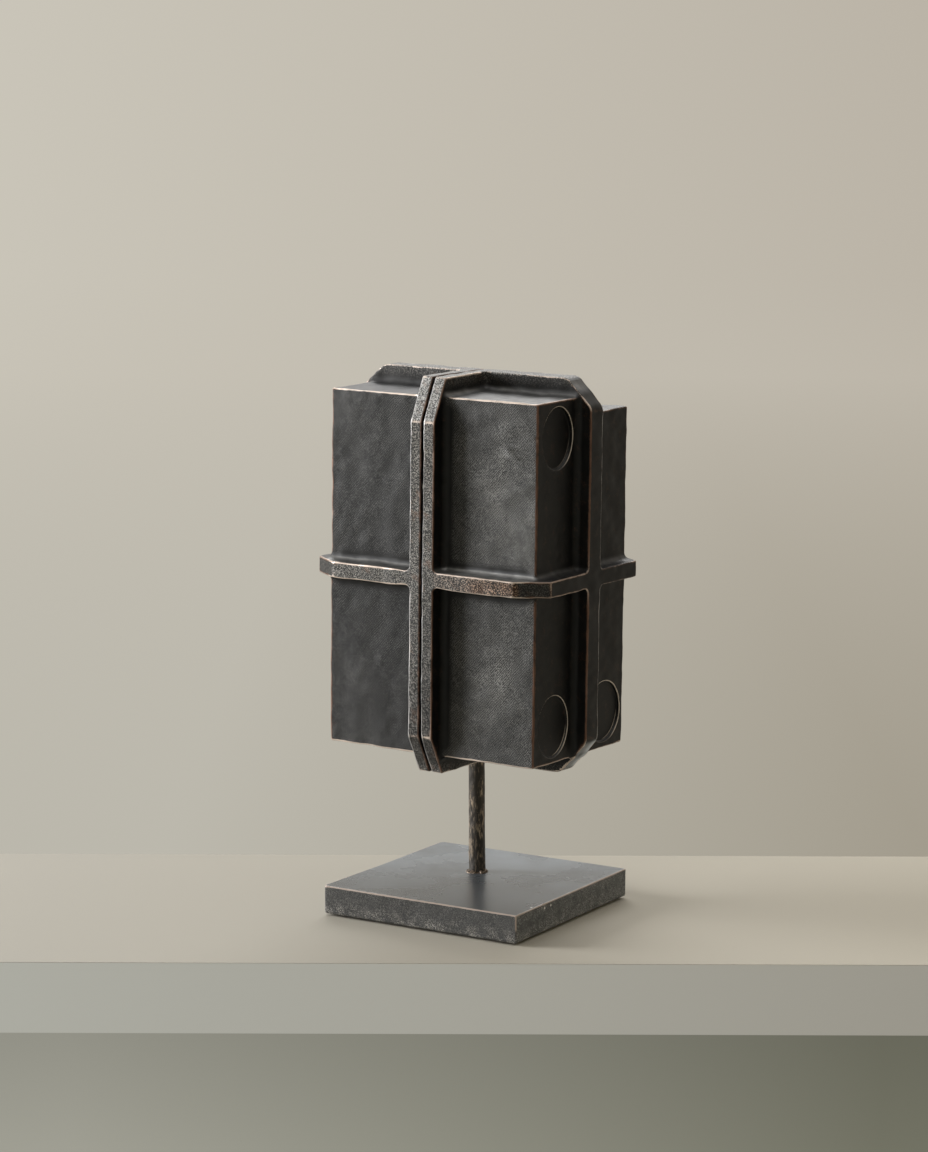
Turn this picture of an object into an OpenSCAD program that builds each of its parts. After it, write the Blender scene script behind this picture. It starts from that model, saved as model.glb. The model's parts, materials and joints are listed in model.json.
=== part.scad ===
// Two-part magnetic desk sculpture: a flanged block in two hollow cast halves, held together
// by magnets, turning on a post that is brazed into a square plate.
// Millimetres, +Z up. Origin: middle of the pad's underside. X and Y follow the plate's sides.

/* [Base] */
// Side of the square plate
plate_side = 100; // [90:1:140]
// Thickness of the plate
plate_t = 13; // [11:0.5:20]
// Corner radius of the plate
plate_corner_r = 2; // [1:0.5:8]
// Thickness of the felt pad under the plate
pad_t = 1; // [0.8:0.1:3]
// How far the pad stays inside the plate's sides
pad_inset = 3; // [1:0.5:8]

/* [Post] */
// Diameter of the post
post_d = 7.6; // [6:0.1:9]
// Place of the post on the plate, along X
post_x = -6; // [-12:0.5:12]
// Place of the post on the plate, along Y
post_y = 9; // [-12:0.5:12]
// Bare length of the post, from the plate to the underside of the blocks
post_bare = 62; // [40:1:90]
// Depth of the post's seat in the plate
post_seat = 9; // [6:0.5:10]
// Width of the braze bead round the post's foot
bead_w = 1.5; // [1:0.1:2.5]

/* [Blocks] */
// Length over both end faces
block_l = 110; // [100:1:140]
// Width over both long faces
block_w = 73; // [70:1:90]
// Height of the front blocks, from underside to top
block_h = 162.5; // [150:0.5:200]
// How much lower the rear blocks' tops are, and the parting flange above them
rear_drop = 8; // [0.5:0.5:12]
// Wall thickness of the castings
wall = 3.5; // [3:0.1:5]
// Radius of the blocks' upright edges
edge_r = 1.5; // [0.5:0.1:3]
// Angle at which the head stands on its post
head_turn = -2.5; // [-90:0.5:90]

/* [Flanges] */
// How far the flanges stand out of the long faces
flange_out = 9.2; // [7:0.1:12]
// How far the flanges stand out of the end faces
end_out = 7.8; // [7:0.1:12]
// How far the upright flanges stand above the front blocks
flange_up = 8; // [5:0.5:12]
// How far the upright flanges hang below the blocks
flange_down = 7.5; // [5:0.5:12]
// Thickness of each half's parting flange
parting_t = 6; // [5:0.5:9]
// Thickness of the upright flange along the head
cross_t = 9.3; // [6:0.1:12]
// Thickness of the level flange at half height
belt_t = 6.5; // [4:0.5:10]
// Gap between the two parting flanges
part_gap = 1.2; // [0.8:0.1:2]
// Height of the cut corners of the parting flanges
parting_cut_z = 18; // [10:0.5:24]
// Length of the upright flange's cut corners
cross_cut_x = 13; // [8:0.5:18]
// Height of the upright flange's cut corners
cross_cut_z = 13.5; // [8:0.5:18]
// Length of the level flange's cut corners
belt_cut_x = 14.3; // [8:0.1:18]
// Width of the level flange's cut corners
belt_cut_y = 9.4; // [6:0.1:14]
// Radius of the coves where flanges meet blocks and each other
cove_r = 2.5; // [1:0.5:4]

/* [Magnets] */
// Diameter of the round seats in the end face
seat_d = 28; // [20:0.5:29]
// Depth of the round seats
seat_depth = 1.2; // [0.6:0.1:1.5]
// Distance from a seat's rim to the block's edge
seat_edge = 2.5; // [1.5:0.5:6]
// Diameter of the magnets behind the seats
face_magnet_d = 24; // [16:0.5:25]
// Thickness of the magnets behind the seats
face_magnet_t = 4; // [2:0.5:6]
// Thickness of the steel keeper behind each face magnet
keeper_t = 1; // [0.5:0.5:2]
// Diameter of the rim magnets
rim_magnet_d = 8; // [5:0.5:8]
// Thickness of the rim magnets
rim_magnet_t = 3; // [2:0.5:4]
// Rim magnets up each side of a half
rim_magnets = 4; // [2:1:5]

/* [Covers and dowels] */
// Thickness of the sheet covers
cover_t = 1.5; // [1:0.1:2.5]
// How far a cover lies behind the parting face
cover_inset = 2; // [2:0.1:4]
// Diameter of the bosses that carry a cover
boss_d = 8; // [6:0.5:10]
// Length of the bosses that carry a cover
boss_l = 12; // [10:1:16]
// Thread diameter of the cover screws
cover_screw_d = 3; // [2:0.5:4]
// Diameter of the dowels
dowel_d = 4; // [3:0.5:5]
// Depth of the dowels' seats
dowel_seat = 5; // [3:0.5:5]
// Sideways place of the dowels
dowel_y = 20; // [15:1:25]

/* [Carrier] */
// Width of the carrier that sits on the post
carrier_w = 28; // [24:1:34]
// Height of the carrier
carrier_h = 28; // [26:1:36]
// How far the carrier reaches past the post towards the loose half
carrier_front = 10; // [9:0.5:14]
// How far the carrier reaches past the post into the fixed half
carrier_back = 20; // [20:1:26]
// Outer diameter of the bush
bush_d = 12; // [11:0.5:15]
// Length of the bush
bush_l = 21; // [16:0.5:22]
// Thickness of the thrust disc on the post's end
thrust_t = 1.5; // [1:0.5:2]
// Thickness of the carrier's lugs
lug_t = 6; // [4:0.5:8]
// Height of the bosses under the lugs
lug_boss_h = 5; // [4:0.5:8]
// Thread diameter of the carrier screws and the retaining screw
carrier_screw_d = 4; // [3:0.5:5]

/* [Hidden] */

// Clearances
fit_gap = 0.05;     // a part that turns or slides in its seat
seat_gap = 0.02;    // a part that is pressed or glued in its seat
open_gap = 0.4;     // pieces that pass each other
magnet_air = 0.1;   // between facing rim magnets
over = 1;           // cuts run past a face, and joined solids into each other

post_r = post_d / 2;
plate_top = pad_t + plate_t;
blocks_z = plate_top + post_bare;
top_z = blocks_z + block_h;
rear_top_z = top_z - rear_drop;
belt_z = blocks_z + block_h / 2;
ridge_top = top_z + flange_up;
rear_ridge_top = ridge_top - rear_drop;
ridge_bottom = blocks_z - flange_down;
face_x = part_gap / 2;
flange_x = face_x + parting_t;
end_x = block_l / 2;
side_y = block_w / 2;
cross_y = cross_t / 2;
inner_x = end_x - wall;
inner_y = side_y - wall;
floor_z = blocks_z + wall;
ceiling_z = top_z - wall;
rear_ceiling_z = rear_top_z - wall;

// Carrier, bush and the post's end
carrier_z = floor_z + open_gap;
lug_w = carrier_screw_d + 8;
lug_z = floor_z + lug_boss_h;
lug_screw_x = carrier_back - lug_w / 2;
lug_screw_y = carrier_w / 2 + lug_w / 2;
groove_w = 3;
groove_deep = 0.8;
groove_z = carrier_z + bush_l / 2;
dog_r = groove_w / 2 - open_gap;
post_end = carrier_z + bush_l - fit_gap;
post_hole_r = post_r + open_gap;

// Seats in the end face: [side, level], -1 is front or lower, 1 is rear or upper
seat_y = (cross_y + side_y) / 2;
seat_in = seat_edge + seat_d / 2;
SEATS = [[-1, 1], [-1, -1], [1, -1]];
face_magnet_x = inner_x - face_magnet_t;
ring_d = face_magnet_d + 5;

// Rim magnets and dowels
magnet_proud = (part_gap - magnet_air) / 2;
magnet_seat = rim_magnet_t - magnet_proud;
magnet_y = side_y + flange_out - rim_magnet_d / 2 - 1.2;
magnet_rise = (block_h - 2 * parting_cut_z - 2 * rim_magnet_d) / rim_magnets;
dowel_low_z = blocks_z + (wall - flange_down) / 2;
dowel_high_z = top_z + (flange_up - wall) / 2;
dowel_bush_d = dowel_d + 2;

// Covers
cover_x = face_x + cover_inset;
boss_in = boss_d / 2 - 0.5;
screw_head_h = cover_inset - 0.5;

module on_head() {
    translate([post_x, post_y, 0])
        rotate([0, 0, head_turn])
            children();
}

module left_side() {
    mirror([1, 0, 0])
        children();
}

// A square with rounded corners, centred
module round_square(side, r) {
    inner = side - 2 * r;
    square([side, inner], center = true);
    square([inner, side], center = true);
    for (sx = [-1, 1], sy = [-1, 1])
        translate([sx * inner / 2, sy * inner / 2])
            circle(r, $fn = 48);
}

// Half the width of a half's blocks, with its upright outer edge rounded
module block_plan() {
    translate([face_x, 0]) {
        square([end_x - edge_r - face_x, side_y]);
        square([end_x - face_x, side_y - edge_r]);
    }
    translate([end_x - edge_r, side_y - edge_r])
        circle(edge_r, $fn = 48);
}

module blocks() {
    translate([0, 0, blocks_z]) {
        mirror([0, 1, 0])
            linear_extrude(block_h)
                block_plan();
        linear_extrude(block_h - rear_drop)
            block_plan();
    }
}

// Outline of the parting flange, across Y and Z
module parting_outline() {
    y = side_y + flange_out;
    low = ridge_bottom + parting_cut_z;
    high = ridge_top - parting_cut_z;
    polygon([[-side_y, ridge_bottom], [side_y, ridge_bottom], [y, low], [y, high - rear_drop],
        [side_y, rear_ridge_top], [0, rear_ridge_top], [0, ridge_top],
        [-side_y, ridge_top], [-y, high], [-y, low]]);
}

// Outline of one half's end of the upright flange, across X and Z
module cross_outline() {
    x = end_x + end_out;
    polygon([[face_x, ridge_bottom], [x - cross_cut_x, ridge_bottom],
        [x, ridge_bottom + cross_cut_z], [x, ridge_top - cross_cut_z],
        [x - cross_cut_x, ridge_top], [face_x, ridge_top]]);
}

// Outline of one half of the level flange, across X and Y
module belt_outline() {
    x = end_x + end_out;
    y = side_y + flange_out;
    polygon([[face_x, -y], [x - belt_cut_x, -y], [x, belt_cut_y - y],
        [x, y - belt_cut_y], [x - belt_cut_x, y], [face_x, y]]);
}

module flanges() {
    translate([face_x, 0, 0])
        rotate([90, 0, 90])
            linear_extrude(parting_t)
                parting_outline();
    translate([0, cross_y, 0])
        rotate([90, 0, 0])
            linear_extrude(cross_t)
                cross_outline();
    translate([0, 0, belt_z - belt_t / 2])
        linear_extrude(belt_t)
            belt_outline();
}

// A straight cove of length l along Z, in the corner at the origin between the X and Y faces
module cove(l) {
    linear_extrude(l)
        difference() {
            translate([-over, -over])
                square(cove_r + over);
            translate([cove_r, cove_r])
                circle(cove_r, $fn = 48);
        }
}

// Turns a cove so that it runs along Y, between the X and Z faces
module along_y() {
    mirror([0, 1, 0])
        rotate([90, 0, 0])
            children();
}

// Turns a cove so that it runs along X, between the Y and Z faces
module along_x() {
    rotate([90, 0, 90])
        children();
}

// All coves of one block: side is 1 for the rear, level is 1 for the upper block
module block_coves(side, level) {
    block_end = level < 0 ? block_h / 2 : (side < 0 ? block_h / 2 : block_h / 2 - rear_drop);
    ridge = level < 0 ? flange_down : flange_up;
    belt = belt_t / 2;
    translate([0, 0, belt_z])
        mirror([0, 0, (1 - level) / 2])
            mirror([0, (1 - side) / 2, 0]) {
                // upright, beside the parting flange and beside the upright flange
                translate([flange_x, side_y, belt])
                    cove(block_end - belt);
                translate([end_x, cross_y, belt])
                    cove(block_end - belt);
                // level, between the belt and the block
                translate([face_x + over, side_y, belt])
                    along_x() cove(end_x - edge_r - face_x - over);
                translate([end_x, over, belt])
                    along_y() cove(side_y - edge_r - over);
                // between the belt and the other flanges
                translate([flange_x, side_y - over, belt])
                    along_y() cove(flange_out);
                translate([end_x - over, cross_y, belt])
                    along_x() cove(end_out);
                // on the block's top or underside
                translate([flange_x, over, block_end])
                    along_y() cove(side_y - 2 * over);
                translate([face_x + over, cross_y, block_end])
                    along_x() cove(end_x - face_x - 2 * over);
                translate([flange_x, cross_y, block_end - over])
                    cove(ridge);
            }
}

module cavity() {
    translate([-over, -inner_y, floor_z])
        cube([inner_x + over, inner_y, ceiling_z - floor_z]);
    translate([-over, -over, floor_z])
        cube([inner_x + over, inner_y + over, rear_ceiling_z - floor_z]);
}

// Puts children on the four bosses that carry a cover, along +X
module at_cover_screws() {
    for (p = [[-1, floor_z + boss_in], [1, floor_z + boss_in],
            [-1, ceiling_z - boss_in], [1, rear_ceiling_z - boss_in]])
        translate([0, p[0] * (inner_y - boss_in), p[1]])
            rotate([0, 90, 0])
                children();
}

module at_rim_magnets() {
    for (side = [-1, 1], i = [0 : rim_magnets - 1])
        translate([0, side * magnet_y, belt_z + (i - (rim_magnets - 1) / 2) * magnet_rise])
            rotate([0, 90, 0])
                children();
}

module at_dowels() {
    for (p = [[1, dowel_low_z], [-1, dowel_high_z]])
        translate([0, p[0] * dowel_y, p[1]])
            rotate([0, 90, 0])
                children();
}

// Puts children at one seat: side and level as in SEATS, along +X
module at_seat(s) {
    z = s[1] > 0 ? (s[0] > 0 ? rear_top_z : top_z) - seat_in : blocks_z + seat_in;
    translate([0, s[0] * seat_y, z])
        rotate([0, 90, 0])
            children();
}

module at_lugs() {
    for (side = [-1, 1])
        translate([lug_screw_x, side * lug_screw_y, 0])
            children();
}

// What both castings share, as the half on +X
module half_casting(dowel_hole_d) {
    difference() {
        union() {
            difference() {
                union() {
                    blocks();
                    flanges();
                    for (side = [-1, 1], level = [-1, 1])
                        block_coves(side, level);
                }
                cavity();
            }
            at_cover_screws()
                translate([0, 0, cover_x + cover_t])
                    cylinder(h = boss_l, d = boss_d, $fn = 48);
        }
        at_cover_screws()
            translate([0, 0, cover_x])
                cylinder(h = cover_t + boss_l - 2, d = cover_screw_d, $fn = 32);
        at_rim_magnets()
            cylinder(h = face_x + magnet_seat, d = rim_magnet_d + 2 * seat_gap, $fn = 48);
        at_dowels()
            cylinder(h = face_x + dowel_seat, d = dowel_hole_d, $fn = 48);
        translate([0, 0, ridge_bottom - over])
            cylinder(h = floor_z - ridge_bottom + 2 * over, r = post_hole_r, $fn = 64);
    }
}

module base_plate() {
    color("#3d3f42")
        difference() {
            translate([0, 0, pad_t])
                linear_extrude(plate_t)
                    round_square(plate_side, plate_corner_r);
            translate([post_x, post_y, plate_top - post_seat])
                cylinder(h = post_seat + over, r = post_r + seat_gap, $fn = 64);
        }
}

module base_pad() {
    color("#141414")
        linear_extrude(pad_t)
            round_square(plate_side - 2 * pad_inset, plate_corner_r);
}

module post() {
    color("#4a4038")
        translate([post_x, post_y, 0])
            difference() {
                translate([0, 0, plate_top - post_seat])
                    cylinder(h = post_end - plate_top + post_seat, r = post_r, $fn = 64);
                // groove for the retaining screw's dog
                translate([0, 0, groove_z - groove_w / 2])
                    difference() {
                        cylinder(h = groove_w, r = post_r + over, $fn = 64);
                        cylinder(h = groove_w, r = post_r - groove_deep, $fn = 64);
                    }
            }
}

module foot_bead() {
    color("#6a5038")
        translate([post_x, post_y, plate_top])
            rotate_extrude($fn = 64)
                intersection() {
                    translate([post_r + seat_gap, 0])
                        square(bead_w);
                    translate([post_r, 0])
                        circle(bead_w, $fn = 48);
                }
}

module right_shell() {
    color("#37352f")
        on_head()
            difference() {
                union() {
                    half_casting(dowel_d + 2 * seat_gap);
                    for (s = SEATS)
                        at_seat(s)
                            translate([0, 0, face_magnet_x - keeper_t])
                                cylinder(h = face_magnet_t + keeper_t + over, d = ring_d, $fn = 64);
                    at_lugs()
                        translate([0, 0, floor_z - over])
                            cylinder(h = lug_boss_h + over, d = lug_w - 2, $fn = 48);
                }
                for (s = SEATS)
                    at_seat(s) {
                        translate([0, 0, end_x - seat_depth])
                            cylinder(h = seat_depth + over, d = seat_d, $fn = 96);
                        translate([0, 0, face_magnet_x - keeper_t - over])
                            cylinder(h = face_magnet_t + keeper_t + over,
                                d = face_magnet_d + 2 * seat_gap, $fn = 64);
                    }
                at_lugs()
                    translate([0, 0, floor_z])
                        cylinder(h = lug_boss_h + over, d = carrier_screw_d, $fn = 32);
            }
}

module left_shell() {
    color("#37352f")
        on_head()
            left_side()
                half_casting(dowel_bush_d + 2 * seat_gap);
}

// The block that sits on the post and is screwed into the fixed half
module carrier() {
    color("#8c8f92")
        on_head()
            difference() {
                union() {
                    translate([-carrier_front, -carrier_w / 2, carrier_z])
                        cube([carrier_front + carrier_back, carrier_w, carrier_h]);
                    translate([carrier_back - lug_w, -lug_screw_y - lug_w / 2, lug_z])
                        cube([lug_w, 2 * lug_screw_y + lug_w, lug_t]);
                }
                translate([0, 0, carrier_z - over])
                    cylinder(h = bush_l + thrust_t + over, d = bush_d + 2 * seat_gap, $fn = 64);
                translate([-carrier_front - over, 0, groove_z])
                    rotate([0, 90, 0])
                        cylinder(h = carrier_front + over, d = carrier_screw_d, $fn = 32);
                at_lugs()
                    translate([0, 0, lug_z - over])
                        cylinder(h = lug_t + 2 * over, d = carrier_screw_d + 2 * open_gap, $fn = 32);
            }
}

// A socket-head screw standing on the XY plane, its shank down
module socket_screw(d, shank, head_h) {
    difference() {
        union() {
            translate([0, 0, -shank])
                cylinder(h = shank + over / 2, d = d - 2 * seat_gap, $fn = 32);
            cylinder(h = head_h, d = 1.7 * d, $fn = 48);
        }
        translate([0, 0, head_h * 0.4])
            cylinder(h = head_h, d = 0.9 * d, $fn = 6);
    }
}

module carrier_screws() {
    color("#55585c")
        on_head()
            at_lugs()
                translate([0, 0, lug_z + lug_t])
                    socket_screw(carrier_screw_d, lug_t + lug_boss_h - open_gap, carrier_screw_d);
}

module post_bush() {
    color("#b08d4a")
        on_head()
            difference() {
                translate([0, 0, carrier_z])
                    cylinder(h = bush_l, d = bush_d, $fn = 64);
                translate([0, 0, carrier_z - over])
                    cylinder(h = bush_l + 2 * over, r = post_r + fit_gap, $fn = 64);
                translate([-bush_d, 0, groove_z])
                    rotate([0, 90, 0])
                        cylinder(h = bush_d, r = dog_r + seat_gap, $fn = 32);
            }
}

module thrust_disc() {
    color("#b08d4a")
        on_head()
            translate([0, 0, carrier_z + bush_l])
                cylinder(h = thrust_t, d = bush_d, $fn = 64);
}

// A set screw whose dog runs in the post's groove
module retaining_screw() {
    thread_end = bush_d / 2 + open_gap;
    color("#55585c")
        on_head()
            translate([0, 0, groove_z])
                rotate([0, -90, 0])
                    difference() {
                        union() {
                            translate([0, 0, thread_end])
                                cylinder(h = carrier_front - thread_end,
                                    d = carrier_screw_d - 2 * seat_gap, $fn = 32);
                            translate([0, 0, post_r - groove_deep + open_gap / 2])
                                cylinder(h = thread_end - post_r + groove_deep, r = dog_r, $fn = 32);
                        }
                        translate([0, 0, carrier_front - 1.5])
                            cylinder(h = 1.5 + over, d = carrier_screw_d / 2, $fn = 6);
                    }
}

// A sheet cover over a half's hollow, notched round the carrier, as the one on +X
module cover() {
    difference() {
        translate([cover_x, 0, 0])
            rotate([90, 0, 90])
                linear_extrude(cover_t)
                    polygon([[open_gap - inner_y, floor_z + open_gap],
                        [inner_y - open_gap, floor_z + open_gap],
                        [inner_y - open_gap, rear_ceiling_z - open_gap],
                        [-cross_y, rear_ceiling_z - open_gap],
                        [-cross_y, ceiling_z - open_gap],
                        [open_gap - inner_y, ceiling_z - open_gap]]);
        translate([0, -carrier_w / 2 - open_gap, floor_z - over])
            cube([cover_x + cover_t + over, carrier_w + 2 * open_gap, carrier_h + over + 2 * open_gap]);
        at_cover_screws()
            cylinder(h = cover_x + cover_t + over, d = cover_screw_d + open_gap, $fn = 32);
    }
}

module cover_screws() {
    at_cover_screws()
        translate([0, 0, cover_x])
            rotate([180, 0, 0])
                socket_screw(cover_screw_d, cover_t + boss_l - 3, screw_head_h);
}

module rim_magnets() {
    at_rim_magnets()
        translate([0, 0, face_x - magnet_proud])
            cylinder(h = rim_magnet_t, d = rim_magnet_d, $fn = 48);
}

module right_cover() {
    color("#a3a6a8")
        on_head()
            cover();
}

module right_cover_screws() {
    color("#55585c")
        on_head()
            cover_screws();
}

module right_rim_magnets() {
    color("#c9ccd0")
        on_head()
            rim_magnets();
}

module left_cover() {
    color("#a3a6a8")
        on_head()
            left_side()
                cover();
}

module left_cover_screws() {
    color("#55585c")
        on_head()
            left_side()
                cover_screws();
}

module left_rim_magnets() {
    color("#c9ccd0")
        on_head()
            left_side()
                rim_magnets();
}

module dowels() {
    color("#9a9da0")
        on_head()
            at_dowels()
                translate([0, 0, open_gap - face_x - dowel_seat])
                    cylinder(h = 2 * (face_x + dowel_seat) - open_gap, d = dowel_d, $fn = 48);
}

module dowel_bushes() {
    color("#b08d4a")
        on_head()
            left_side()
                at_dowels()
                    translate([0, 0, face_x])
                        difference() {
                            cylinder(h = dowel_seat, d = dowel_bush_d, $fn = 48);
                            translate([0, 0, -over])
                                cylinder(h = dowel_seat + 2 * over, d = dowel_d + 2 * fit_gap, $fn = 48);
                        }
}

module face_magnet(s) {
    color("#c9ccd0")
        on_head()
            at_seat(s)
                translate([0, 0, face_magnet_x])
                    cylinder(h = face_magnet_t, d = face_magnet_d, $fn = 64);
}

module face_keeper(s) {
    color("#8c8f92")
        on_head()
            at_seat(s)
                translate([0, 0, face_magnet_x - keeper_t])
                    cylinder(h = keeper_t, d = face_magnet_d, $fn = 64);
}

base_plate();
base_pad();
post();
foot_bead();
right_shell();
carrier();
carrier_screws();
post_bush();
thrust_disc();
retaining_screw();
right_cover();
right_cover_screws();
right_rim_magnets();
dowels();
face_magnet(SEATS[0]);  // face_magnet_upper_front
face_magnet(SEATS[1]);  // face_magnet_lower_front
face_magnet(SEATS[2]);  // face_magnet_lower_rear
face_keeper(SEATS[0]);  // face_keeper_upper_front
face_keeper(SEATS[1]);  // face_keeper_lower_front
face_keeper(SEATS[2]);  // face_keeper_lower_rear
left_shell();
left_cover();
left_cover_screws();
left_rim_magnets();
dowel_bushes();
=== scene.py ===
"""Looks of the magnetic desk sculpture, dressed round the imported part.

The two castings, the plate, the pad, the post and its braze bead are modelled here as smooth solids
given by distance functions, then skinned with quads; the pieces inside keep their CAD shapes.
Those functions work in millimetres. The head's pieces are modelled in the head's own axes: +X to the
fixed half, +Y to the rear, and the post's axis at x = y = 0.
"""

import json
import math

import bmesh
import bpy
import numpy as np
from mathutils import Matrix, Vector


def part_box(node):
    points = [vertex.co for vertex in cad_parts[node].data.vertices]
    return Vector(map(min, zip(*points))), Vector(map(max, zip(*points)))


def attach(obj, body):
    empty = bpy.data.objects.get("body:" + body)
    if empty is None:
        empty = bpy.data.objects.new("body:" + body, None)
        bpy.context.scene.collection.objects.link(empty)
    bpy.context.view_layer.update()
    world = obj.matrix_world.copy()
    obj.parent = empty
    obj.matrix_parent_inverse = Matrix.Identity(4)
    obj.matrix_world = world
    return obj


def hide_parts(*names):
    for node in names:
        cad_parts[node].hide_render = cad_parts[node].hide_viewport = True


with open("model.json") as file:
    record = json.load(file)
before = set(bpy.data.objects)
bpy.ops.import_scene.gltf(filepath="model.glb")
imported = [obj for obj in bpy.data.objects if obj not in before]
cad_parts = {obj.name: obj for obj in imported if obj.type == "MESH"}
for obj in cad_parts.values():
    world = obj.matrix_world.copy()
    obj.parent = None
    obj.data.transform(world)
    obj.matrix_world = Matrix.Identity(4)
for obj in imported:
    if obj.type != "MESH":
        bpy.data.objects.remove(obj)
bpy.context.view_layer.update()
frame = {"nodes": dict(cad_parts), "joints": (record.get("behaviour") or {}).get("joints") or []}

MM = 0.001
nodes = frame["nodes"]
joints = {j["name"]: j for j in frame["joints"]}

# ---- Sizes, in millimetres -----------------------------------------------------------------------
# The head's axes, from the joint that pulls the loose half off and the joint that turns the head.
pull = Vector(joints["half_pull"]["axis"])
HEAD_TURN = math.atan2(-pull.y, -pull.x)
POST_X, POST_Y = (v / MM for v in joints["head_turn"]["pos_m"][:2])
HEAD = Matrix.Translation((POST_X * MM, POST_Y * MM, 0)) @ Matrix.Rotation(HEAD_TURN, 4, "Z")


def local_box(name):
    """Lowest and highest corner of a CAD node in the head's axes, in millimetres."""
    back = HEAD.inverted()
    places = np.array([back @ v.co for v in nodes[name].data.vertices]) / MM
    return places.min(0), places.max(0)


SHELL_LOW, SHELL_HIGH = local_box("right_shell")
FACE = SHELL_LOW[0]            # the parting face
REACH_X, REACH_Y = SHELL_HIGH[:2]
RIDGE_LOW, RIDGE_HIGH = SHELL_LOW[2] - 0.9, SHELL_HIGH[2] + 0.6
FLANGE_OUT, END_OUT = 9.2, 7.8  # how far the flanges stand out of the long faces and the ends
END = REACH_X - END_OUT + 0.4
SIDE = REACH_Y - FLANGE_OUT + 0.7
TOP = RIDGE_HIGH - 8.4
REAR_DROP = 8                  # how much lower the rear blocks and their parting flange end
REAR_TOP = TOP - REAR_DROP
FLOOR = RIDGE_LOW + 8.2        # the blocks' underside
PARTING_T, CROSS_T, BELT_T = 5.8, 10.1, 6.5
BELT_Z = (FLOOR + TOP) / 2
BELT_LOW, BELT_HIGH = BELT_Z - BELT_T / 2, BELT_Z + BELT_T / 2 + 0.25
WALL = 3.5
EDGE_R, RIM_R, CUT_R, COVE_R, CROSSING_R, HOLE_EDGE_R = 0.6, 0.5, 1.6, 3.1, 2.6, 0.12
LEAN = np.array((0.0065, 0.0044))  # how far the castings' outsides lean to +X and +Y per height
# How far the flanges' corners are cut: the parting flange's along Y and Z, the upright flange's
# along X and Z, and the belt's along X and Y
PARTING_TOP_CUT, PARTING_FOOT_CUT = (FLANGE_OUT, 19.3), (FLANGE_OUT, 17.9)
UPRIGHT_TOP_CUT, UPRIGHT_FOOT_CUT = (13.2, 12.7), (13.8, 15.4)
BELT_CUT = (14.3, 9.6)
COVER_X = local_box("right_cover")[0][0]
MAGNET_Y = local_box("right_rim_magnets")[1][1] - 4
MAGNET_RISES = (-41.4, -13.8, 13.8, 41.4)  # the rim magnets' heights above the belt's middle
MAGNET_HOLE_R, MAGNET_HOLE_DEPTH = 4.03, 2.45
DOWELS = ((20, FLOOR - 2), (-20, TOP + 2.25))  # where they lie, in Y and Z
DOWEL_HOLE_R, BUSH_HOLE_R, DOWEL_HOLE_DEPTH = 2.03, 3.03, 5
BOSS_R, BOSS_IN, TAPPED_R = 4, 3.5, 1.5  # the cover screws' bosses, off the walls, and their holes
POST_LOW, POST_HIGH = (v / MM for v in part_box("post"))
POST_R = (POST_HIGH.x - POST_LOW.x) / 2
PLATE_LOW, PLATE_HIGH = (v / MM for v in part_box("base_plate"))
PLATE_HALF = PLATE_HIGH.x
PAD_LOW, PAD_HIGH = (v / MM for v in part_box("base_pad"))
SEAT_R, SEAT_DEPTH = 13.9, 1.5
# Each seat's magnet, its mouth's shift sideways, and how wide that is for its height
SEATS = [(sum(local_box(f"face_magnet_{name}")) / 2, shift, wide)
         for name, shift, wide in (("upper_front", 0.2, 0.88), ("lower_front", -0.8, 0.88),
                                   ("lower_rear", 0, 1))]


# ---- Solids as distance functions ----------------------------------------------------------------
def join(a, b, r):
    """The union of two solids, with a cove of radius r between them."""
    return np.maximum(r, np.minimum(a, b)) - np.hypot(np.maximum(r - a, 0), np.maximum(r - b, 0))


def both(a, b, r):
    """What two solids share, with the edge between them rounded to radius r."""
    return -join(-a, -b, r)


def cut(a, b, r):
    """Solid a without solid b, with the new edge rounded to radius r."""
    return -join(-a, b, r)


def slab(t, start, end):
    """The space where t lies between start and end."""
    return np.maximum(start - t, t - end)


def bevel(a, b, corner_a, corner_b, size_a, size_b):
    """The half space that cuts the corner where a and b end, size_a long on a and size_b on b."""
    slope = (a - corner_a) / size_a + (b - corner_b) / size_b + 1
    return slope / math.hypot(1 / size_a, 1 / size_b)


def ripple(p, length, seed):
    """A smooth random field of about -1 to 1, with features about length across."""
    draw = np.random.RandomState(seed)
    waves = 9
    direction = draw.normal(size=(waves, 3))
    direction /= np.linalg.norm(direction, axis=1)[:, None]
    number = 2 * math.pi / (length * draw.uniform(1.2, 2.6, waves))
    phase = draw.uniform(0, 2 * math.pi, waves)
    total = 0
    for k, n, start in zip(direction, number, phase):
        total = total + np.sin(p @ (k * n) + start)
    return total / waves ** 0.5


def wobble(p, length, size, seed):
    """Points p moved by up to about size, smoothly over length."""
    return p + size * np.stack([ripple(p, length, seed + i) for i in range(3)], -1)


def rod_x(p, y, z, r):
    """An endless rod along X."""
    return np.hypot(p[:, 1] - y, p[:, 2] - z) - r


def dent(p, centre, r, depth, lip=0.0):
    """How much to lower a surface at a round dent, with a raised lip of that share of its depth."""
    t = np.linalg.norm(p - np.array(centre), axis=1) / r
    return depth * (np.exp(-(t ** 2) * 1.6) - lip * np.exp(-((t - 1.4) ** 2) * 6))


def near(values, centre, width):
    """1 at the centre, fading to 0 on both sides."""
    return np.exp(-(((values - centre) / width) ** 2))


def above(values, start, end):
    """0 up to start and 1 from end on, smooth between."""
    t = np.clip((values - start) / (end - start), 0, 1)
    return t * t * (3 - 2 * t)


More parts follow.
